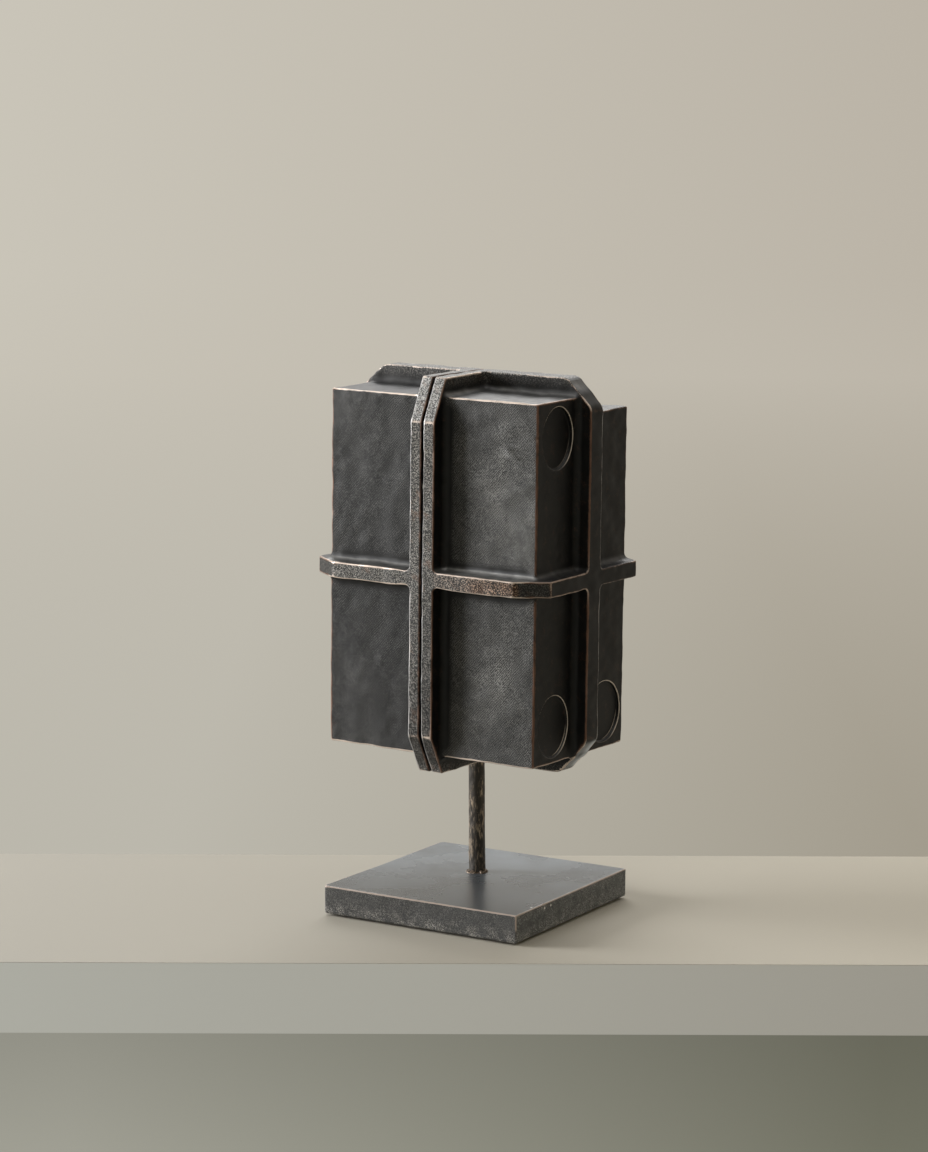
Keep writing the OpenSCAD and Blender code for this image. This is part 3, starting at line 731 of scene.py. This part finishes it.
def blackened_steel():
    """Satin black plate, speckled and scuffed on its sides, with thin pale edges; its top is painted
    lighter towards the back as a painted reflection.
    """
    f = Finish("blackened_steel", Metallic=0.0, Specular_IOR_Level=0.5)
    edge, side, foot, end, back = (f.trait(name) for name in ("edge", "side", "foot", "end", "back"))
    grain, patch, cloud = f.noise(0.42, 3, 0.75), f.noise(5, 4, 0.6), f.noise(22, 3, 0.5)
    chip = 0.0
    for spot, size in SPOTS:
        away = f.add("VectorMath", f.where, [v * MM for v in spot], operation="DISTANCE", out="Value")
        chip = f.sum(chip, f.span(away, 0.7 * size * MM, size * MM, 1, 0))
    # The top's real mottling, painted lighter towards the rear and left as a painted reflection of the
    # light behind
    mottling_and_painted_back_light = f.times(f.span(cloud, 0.3, 0.7, 0.75, 1.25), back)
    top = f.mix(mottling_and_painted_back_light, (0.010, 0.0115, 0.013), (0.28, 0.32, 0.365))
    face = f.mix(f.span(cloud, 0.3, 0.7), (0.022, 0.023, 0.024), (0.040, 0.042, 0.044))
    speck = f.mix(f.span(grain, 0.48, 0.58), (0.014, 0.0145, 0.015), (0.50, 0.48, 0.45))
    foot_scuffs = f.times(foot, f.span(patch, 0.42, 0.58, 0, 0.6))
    scuffed = f.sum(f.span(patch, 0.3, 0.7, 0.14, 0.30), foot_scuffs)
    body = f.mix(side, top, f.mix(scuffed, face, speck))
    frost = f.sum(f.span(patch, 0.35, 0.65, 0.15, 0.75), f.times(foot, 0.3))
    flecks = f.times(f.span(grain, 0.50, 0.60), frost)
    flecked = f.mix(flecks, (0.070, 0.077, 0.086), (0.70, 0.70, 0.66))
    body = f.mix(f.times(end, 0.85), body, flecked)
    ragged = f.sum(f.span(patch, 0.3, 0.7, -0.14, 0.10), f.span(grain, 0.3, 0.7, -0.10, 0.10))
    worn = f.span(f.sum(edge, ragged), 0.32, 0.56)
    body = f.mix(worn, body, (0.50, 0.41, 0.355))
    f.set(Base_Color=f.mix(chip, body, (0.92, 0.90, 0.86)))
    f.set(Roughness=f.span(f.sum(side, f.times(cloud, 0.6)), 0.2, 1.5, 0.25, 0.6))
    f.bump(f.times(grain, f.span(side, 0, 1, 0.0, 0.6)), 0.10)
    return f.material


def rod_metal():
    """Dark drawn steel with streaks of braze."""
    f = Finish("rod_metal", Metallic=0.6, Specular_IOR_Level=0.5)
    streak = f.noise(0.9, 4, 0.65, f.turned((0, 0, 0), (1, 1, 0.22)))
    patch = f.noise(4, 4, 0.6, f.turned((0, 0, 0), (1, 1, 0.5)))
    gold = f.times(f.span(streak, 0.48, 0.62), f.span(patch, 0.42, 0.6))
    f.set(Base_Color=f.mix(gold, (0.060, 0.053, 0.047), (0.50, 0.40, 0.30)))
    f.set(Roughness=f.span(streak, 0.3, 0.7, 0.55, 0.38))
    f.bump(f.sum(streak, f.times(patch, 0.6)), 0.2)
    return f.material


def braze():
    """Dull, grainy braze."""
    f = Finish("braze", Metallic=0.7, Specular_IOR_Level=0.5)
    grain = f.noise(0.6, 3, 0.7)
    f.set(Base_Color=f.mix(f.span(grain, 0.42, 0.66), (0.03, 0.025, 0.02), (0.45, 0.34, 0.26)))
    f.set(Roughness=f.span(grain, 0.3, 0.7, 0.6, 0.4))
    f.bump(grain, 0.25)
    return f.material


def felt():
    """Black felt."""
    f = Finish("felt", Roughness=0.95, Specular_IOR_Level=0.1)
    fibre = f.noise(0.35, 4, 0.75)
    f.set(Base_Color=f.mix(f.span(fibre, 0.35, 0.65), (0.002, 0.002, 0.002), (0.012, 0.012, 0.012)))
    f.bump(fibre, 0.25)
    return f.material


def metal(name, dark, light, roughness, grain_mm, stretch):
    """A plain machined or plated metal with a fine, directed grain."""
    f = Finish(name, Metallic=1.0)
    grain = f.noise(grain_mm, 4, 0.6, f.turned((0, 0, 0), stretch))
    cloud = f.noise(6, 3, 0.5)
    f.set(Base_Color=f.mix(f.span(f.sum(grain, cloud), 0.7, 1.3), dark, light))
    f.set(Roughness=f.span(grain, 0.3, 0.7, roughness + 0.08, roughness - 0.06))
    f.bump(grain, 0.02)
    return f.material


# ---- The pieces ----------------------------------------------------------------------------------
bronze = patinated_bronze()
Z_KEYS = [RIDGE_LOW, FLOOR, FLOOR + WALL, BELT_Z - BELT_T / 2, BELT_Z + BELT_T / 2,
          REAR_TOP, TOP, REAR_TOP - WALL, TOP - WALL, RIDGE_HIGH]
MAGNET_ZONES = [(BELT_Z + r - 4.6, BELT_Z + r + 4.6, 0.8) for r in MAGNET_RISES]
SEAT_ZONES = [(FLOOR, SEATS[1][0][2] + SEAT_R + 1, 1.0), (SEATS[0][0][2] - SEAT_R - 1, TOP, 1.0)]
CUT_ZONES = [(RIDGE_LOW, RIDGE_LOW + 18, 0.8), (RIDGE_HIGH - 20, RIDGE_HIGH, 0.8)]
HEAD_RULERS = [
    ruler(FACE - 1.5, REACH_X + 1.5, [FACE, FACE + PARTING_T, COVER_X, END, REACH_X],
          [(REACH_X - 15, REACH_X, 0.8)]),
    ruler(-REACH_Y - 1.5, REACH_Y + 1.5,
          [-REACH_Y, -SIDE, -CROSS_T / 2, CROSS_T / 2, SIDE, REACH_Y],
          [(-REACH_Y, 1.5 - SIDE, 0.7), (SIDE - 1.5, REACH_Y, 0.7), (-SIDE, -CROSS_T / 2, 1.0),
           (CROSS_T / 2, SIDE, 1.0)]),
    ruler(RIDGE_LOW - 1.5, RIDGE_HIGH + 1.5, Z_KEYS, CUT_ZONES + SEAT_ZONES + MAGNET_ZONES),
]


def deep_inside(points):
    """True for the vertices on a hollow's walls, behind the cover."""
    return (cavity(points) < 0.4) & (points[:, 0] > COVER_X + 3)


piece("right_casting", fixed_plain, fixed_worked, HEAD_RULERS, HEAD, "fixed_half", ["right_shell"],
      bronze, fixed_traits, True, deep_inside)
piece("left_casting", loose_plain, loose_worked, HEAD_RULERS, HEAD, "loose_half", ["left_shell"],
      bronze, loose_traits, False, deep_inside)

# The radius of each of the plate's corners; the front one is the sharpest
PLATE_CORNERS = {(1, -1): 0.5, (-1, -1): 1.8, (1, 1): 0.7, (-1, 1): 2.5}
# Centre, radius and depth of each chip
CHIPS = [((50, 31, 9.5), 0.9, 0.7), ((24, -50, 3), 1.0, 0.7), ((26.5, -50, 3.4), 0.7, 0.4)]
PLATE_EXTRA = 0.3   # how far the plate's sides stand outside the CAD ones
CORNER_OUT = 1.2    # and how much further its left corner


def plate_form(p):
    """The plate with its socket; its left corner stands out a little."""
    x, y, z = p.T
    x = x + CORNER_OUT * np.clip(-x / 50, 0, 1) * np.clip(-y / 50, 0, 1)
    r = sum(value * (0.5 + 0.5 * sx * np.tanh(x / 5)) * (0.5 + 0.5 * sy * np.tanh(y / 5))
            for (sx, sy), value in PLATE_CORNERS.items())
    flat = both(np.abs(x) - PLATE_HIGH.x - PLATE_EXTRA, np.abs(y) - PLATE_HIGH.y - PLATE_EXTRA, r)
    solid = both(both(flat, z - PLATE_HIGH.z, 0.5), PLATE_LOW.z - z, 1.0)
    socket = np.maximum(np.hypot(x - POST_X, y - POST_Y) - POST_R - 0.6, POST_LOW.z - z)
    return cut(solid, socket, 0.3)


def worn_plate(p):
    """The same with its unevenness and chips."""
    solid = plate_form(wobble(p, 5, 0.05, 42) * (1, 1, 0) + p * (0, 0, 1)) + 0.03 * ripple(p, 25, 40)
    for centre, r, depth in CHIPS:
        solid = solid + dent(p, centre, r, depth)
    return solid


def plate_traits(points, normals):
    """What the plate's finish follows: edges, sides, the foot, the back, which holds a painted
    reflection, and the end.
    """
    return {
        "edge": np.clip(bulge(plate_form, points, 0.8), 0, 1) * above(points[:, 2], 3, 9),
        "side": 1 - above(normals[:, 2], 0.3, 0.8),
        "foot": above(-points[:, 2], -8, -2.5),
        # back: how much painted reflection the top gets, more towards the rear and left
        "back": 0.16 + 0.6 * above(points[:, 1] - 0.6 * points[:, 0], -30, 55),
        "end": above(normals[:, 0], 0.5, 0.9),
    }


PLATE_RULERS = [
    ruler(-PLATE_HALF - 1.5, PLATE_HALF + 1.5, [-PLATE_HALF, POST_LOW.x, POST_HIGH.x, PLATE_HALF]),
    ruler(-PLATE_HALF - 1.5, PLATE_HALF + 1.5, [-PLATE_HALF, POST_LOW.y, POST_HIGH.y, PLATE_HALF]),
    ruler(PLATE_LOW.z - 1.5, PLATE_HIGH.z + 1.5, [PLATE_LOW.z, PLATE_HIGH.z], coarse=1.0),
]
piece("weighted_plate", plate_form, worn_plate, PLATE_RULERS, Matrix(), "stand", ["base_plate"],
      blackened_steel(), plate_traits)


def pad_form(p):
    """The felt, fuzzy but for its underside."""
    x, y, z = p.T
    flat = both(np.abs(x) - PAD_HIGH.x + 0.1, np.abs(y) - PAD_HIGH.y + 0.1, 2)
    solid = both(flat, slab(z, PAD_LOW.z + 0.02, PAD_HIGH.z + 0.05), 0.3)
    return solid + 0.06 * ripple(p, 1.6, 50) * (z > 0.3)


PAD_RULERS = [ruler(-PAD_HIGH.x - 1, PAD_HIGH.x + 1, [-PAD_HIGH.x, PAD_HIGH.x]),
              ruler(-PAD_HIGH.y - 1, PAD_HIGH.y + 1, [-PAD_HIGH.y, PAD_HIGH.y]),
              ruler(-0.6, PAD_HIGH.z + 0.6, [0], fine=0.2, coarse=0.2)]
piece("felt_pad", pad_form, pad_form, PAD_RULERS, Matrix(), "stand", ["base_pad"], felt())


ROD_LEAN = (0.854, 0.52)  # which way the post leans, seen from above


def rod_middle(z):
    """Where the post's middle lies at height z: it leans a little, as it was brazed in by hand."""
    lean = np.interp(z, [PLATE_HIGH.z, FLOOR], [0.5, -0.25])
    return POST_X + ROD_LEAN[0] * lean, POST_Y + ROD_LEAN[1] * lean


def rod_form(p):
    """The post, uneven where it is bare and a little thicker low down."""
    x, y, z = p.T
    mx, my = rod_middle(z)
    bare = above(z, PLATE_HIGH.z - 1, PLATE_HIGH.z + 2) * (1 - above(z, FLOOR - 5, FLOOR - 1))
    r = POST_R - 0.1 + bare * (0.13 * ripple(p, 6, 60) + 0.06 * ripple(p, 1.8, 61)
                               + 0.12 * above(-z, -40, -15))
    return both(np.hypot(x - mx, y - my) - r, slab(z, POST_LOW.z, POST_HIGH.z), 0.5)


ROD_RULERS = [ruler(POST_LOW.x - 2, POST_HIGH.x + 2, [POST_LOW.x], fine=0.55, coarse=0.55),
              ruler(POST_LOW.y - 2, POST_HIGH.y + 2, [POST_LOW.y], fine=0.55, coarse=0.55),
              ruler(POST_LOW.z - 1, POST_HIGH.z + 1, [POST_LOW.z, POST_HIGH.z], coarse=0.9)]
piece("rod", rod_form, rod_form, ROD_RULERS, Matrix(), "stand", ["post"], rod_metal())


def bead_form(p):
    """A ragged ring of braze round the post's foot."""
    x, y, z = p.T
    mx, my = rod_middle(z)
    out = np.hypot(x - mx, y - my) - POST_R
    high = z - PLATE_HIGH.z
    ring = np.hypot(np.maximum(out, 0) / 1.15, high / 0.95) - 1.05
    ring = ring + 0.28 * ripple(p, 1.8, 70) + 0.12 * ripple(p, 0.8, 71)
    return both(both(ring, -0.25 - high, 0.1), -out - 0.3, 0.1)


BEAD_LOW, BEAD_HIGH = (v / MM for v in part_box("foot_bead"))
BEAD_RULERS = [ruler(start, end, [0], fine=0.3, coarse=0.3) for start, end in
               ((BEAD_LOW.x - 2, BEAD_HIGH.x + 2), (BEAD_LOW.y - 2, BEAD_HIGH.y + 2),
                (BEAD_LOW.z - 1.2, BEAD_HIGH.z + 1))]
piece("braze_bead", bead_form, bead_form, BEAD_RULERS, Matrix(), "stand", ["foot_bead"],
      braze())

# ---- The pieces that keep their CAD shapes -------------------------------------------------------
STEEL = ((0.10, 0.10, 0.105), (0.22, 0.22, 0.225))
# Each slot with its dark and light tone, its roughness, and its grain's size and stretch
METALS = (
    ("machined_aluminium", (0.42, 0.43, 0.44), (0.62, 0.63, 0.64), 0.34, 0.5, (1, 0.15, 1)),
    ("screw_steel", *STEEL, 0.32, 0.3, (1, 1, 1)),
    ("bearing_bronze", (0.40, 0.24, 0.10), (0.62, 0.42, 0.20), 0.3, 0.4, (1, 1, 0.2)),
    ("cover_sheet", (0.36, 0.37, 0.38), (0.52, 0.53, 0.54), 0.36, 0.4, (1, 1, 0.06)),
    ("magnet_nickel", (0.52, 0.51, 0.49), (0.70, 0.69, 0.67), 0.16, 1.5, (1, 1, 1)),
    ("dowel_steel", (0.45, 0.45, 0.46), (0.60, 0.60, 0.61), 0.22, 0.4, (0.15, 1, 1)),
    ("keeper_steel", *STEEL, 0.4, 0.6, (1, 1, 1)),
)
FINISHES = {name: metal(name, *look) for name, *look in METALS}
for part in nodes.values():
    if not part.hide_render:
        slot = part.data.materials[0].name.split(".")[0]
        part.data.materials.clear()
        part.data.materials.append(FINISHES.get(slot, FINISHES["screw_steel"]))

# ---- Camera, floor and light ---------------------------------------------------------------------
CAMERA_AT = Vector((0.8383, -1.3929, 0.4275))
CAMERA_YAW, CAMERA_PITCH, CAMERA_ROLL = 31.273, 9.540, 0.183
FOCAL_LENGTH, SENSOR_WIDTH = 141.09, 36
camera_data = bpy.data.cameras.new("camera")
camera_data.sensor_fit = "HORIZONTAL"
camera_data.sensor_width = SENSOR_WIDTH
camera_data.lens = FOCAL_LENGTH
camera_data.clip_end = 50
camera = bpy.data.objects.new("camera", camera_data)
camera.matrix_world = (Matrix.Translation(CAMERA_AT)
                       @ Matrix.Rotation(math.radians(CAMERA_YAW), 4, "Z")
                       @ Matrix.Rotation(math.radians(90 - CAMERA_PITCH), 4, "X")
                       @ Matrix.Rotation(math.radians(CAMERA_ROLL), 4, "Z"))
bpy.context.scene.collection.objects.link(camera)
bpy.context.scene.camera = camera

SHELF_FRONT, SHELF_T = -0.097, 0.0317     # where the shelf's edge lies from the plate's middle
WALL_AT = 0.098                           # where the wall under the shelf stands
SHELF_REACH = 3.75                        # how far both reach, into the rise of the floor far off
ALONG = Matrix.Rotation(math.radians(CAMERA_YAW), 4, "Z")
ALONG_AXIS, INWARD_AXIS = ALONG @ Vector((1, 0, 0)), ALONG @ Vector((0, 1, 0))


def add_box(mesh, low, high):
    """A box that lies along the shelf."""
    for v in bmesh.ops.create_cube(mesh, size=1)["verts"]:
        v.co = ALONG @ Vector([(l + h) / 2 + c * (h - l) for l, h, c in zip(low, high, v.co)])


def studio_set():
    """A thick shelf with a wall below it, and far off a floor that rises in a wide curve all round."""
    mesh = bmesh.new()
    steps, start, rise, floor, wall = 24, 2.2, 1.6, -0.6, 5.0
    profile = [(0.0, floor), (start, floor)]
    for i in range(1, steps + 1):
        angle = math.pi / 2 * i / steps
        profile.append((start + rise * math.sin(angle), floor + rise * (1 - math.cos(angle))))
    profile.append((start + rise, wall))
    spin = [mesh.verts.new((r, 0, z)) for r, z in profile]
    edges = [mesh.edges.new(pair) for pair in zip(spin, spin[1:])]
    bmesh.ops.spin(mesh, geom=spin + edges, cent=(0, 0, 0), axis=(0, 0, 1), angle=2 * math.pi, steps=96)
    bmesh.ops.remove_doubles(mesh, verts=mesh.verts, dist=1e-5)
    for face in mesh.faces:
        face.smooth = True
    add_box(mesh, (-SHELF_REACH, SHELF_FRONT, -SHELF_T), (SHELF_REACH, SHELF_REACH, 0))
    add_box(mesh, (-SHELF_REACH, WALL_AT, floor - 0.1), (SHELF_REACH, SHELF_REACH, -SHELF_T - 0.0001))
    data = bpy.data.meshes.new("studio")
    mesh.to_mesh(data)
    mesh.free()
    return data


def studio_paint():
    """Matt paint near the object; further off, and on the shelf's front and below it, what the camera
    and gloss see glows in pale tones, with painted shade: darker to the right and under the shelf.
    """
    f = Finish("studio_paint", Roughness=0.8, Specular_IOR_Level=0.2)
    place = f.add("NewGeometry")
    across = f.add("VectorMath", place, ALONG_AXIS, operation="DOT_PRODUCT", out="Value")
    inward = f.add("VectorMath", place, INWARD_AXIS, operation="DOT_PRODUCT", out="Value")
    height = f.add("SeparateXYZ", place, out="Z")
    # The floor near the object: painted lighter to the right, as painted light against the key lamp's
    # shading there
    top = f.mix(f.span(across, -0.2, 0.2), (0.545, 0.52, 0.46), (0.645, 0.60, 0.505))
    # Under the shelf, darker paint: painted shade on the wall beneath it
    f.set(Base_Color=f.mix(f.span(height, -SHELF_T - 0.001, -SHELF_T), (0.30, 0.295, 0.25), top))

    # The wall and floor far behind glow with painted shade: darker to the right, and most close behind
    # the object, a painted shadow of it
    wall = f.mix(f.span(across, -0.7, 0.7), (0.56, 0.53, 0.46), (0.47, 0.43, 0.365))
    low = f.mix(f.span(across, -0.15, 0.22), (0.475, 0.455, 0.395), (0.345, 0.315, 0.255))
    wall = f.mix(f.span(inward, 0.1, 2.2), low, wall)
    # The shelf's front and the wall under it glow, darker to the right as painted shade; under the
    # shelf a painted shadow that lifts downwards
    edge = f.mix(f.span(across, -0.2, 0.2), (0.455, 0.455, 0.405), (0.345, 0.33, 0.285))
    under = f.mix(f.span(across, -0.2, 0.2), (0.31, 0.305, 0.26), (0.145, 0.145, 0.11))
    fade = f.span(height, -0.15, -0.08, 1.30, 1.04)
    under = f.add("VectorMath", under, None, None, fade, operation="SCALE")
    edge = f.mix(f.span(height, -SHELF_T - 0.001, -SHELF_T), under, edge)
    glow = f.add("Emission", f.mix(f.span(height, -0.0002, -0.0001), edge, wall), 1.05)

    far = f.add("VectorMath", place, operation="LENGTH", out="Value")
    seen = f.add("LightPath", out="Is Camera Ray")
    glossy = f.add("LightPath", out="Is Glossy Ray")
    beyond = f.add("Math", f.span(far, 0.5, 1.6), f.span(inward, WALL_AT - 0.0005, WALL_AT + 0.0005),
                   operation="MAXIMUM")
    beyond = f.add("Math", beyond, f.span(height, -0.0002, -0.0001, 0.8, 0), operation="MAXIMUM")
    share = f.times(beyond, f.add("Math", seen, glossy, operation="MAXIMUM"))
    output = f.tree.nodes["Material Output"]
    f.put(output.inputs["Surface"], f.add("MixShader", share, f.shader.outputs[0], glow))
    return f.material


studio = bpy.data.objects.new("studio", studio_set())
studio.data.materials.append(studio_paint())
bpy.context.scene.collection.objects.link(studio)

WORLD_COLOUR, WORLD_STRENGTH = (1.0, 0.99, 0.97, 1), 0.52
world = bpy.data.worlds.new("soft_room")
world.use_nodes = True
world.node_tree.nodes["Background"].inputs["Color"].default_value = WORLD_COLOUR
world.node_tree.nodes["Background"].inputs["Strength"].default_value = WORLD_STRENGTH
bpy.context.scene.world = world


def softbox(name, place, aim, size, watts):
    """A lamp with a flat, oblong face that points at aim."""
    lamp = bpy.data.lights.new(name, "AREA")
    lamp.shape = "RECTANGLE"
    lamp.size, lamp.size_y = size
    lamp.energy = watts
    holder = bpy.data.objects.new(name, lamp)
    holder.location = place
    holder.rotation_euler = (Vector(aim) - Vector(place)).to_track_quat("-Z", "Y").to_euler()
    bpy.context.scene.collection.objects.link(holder)


AIM = (0, 0, 0.14)
softbox("key", (-1.71, -0.82, 0.5), AIM, (0.7, 1.0), 42)
softbox("back", (-1.2, 1.95, 1.9), AIM, (2.4, 1.6), 36)

bpy.context.scene.view_settings.view_transform = "Standard"
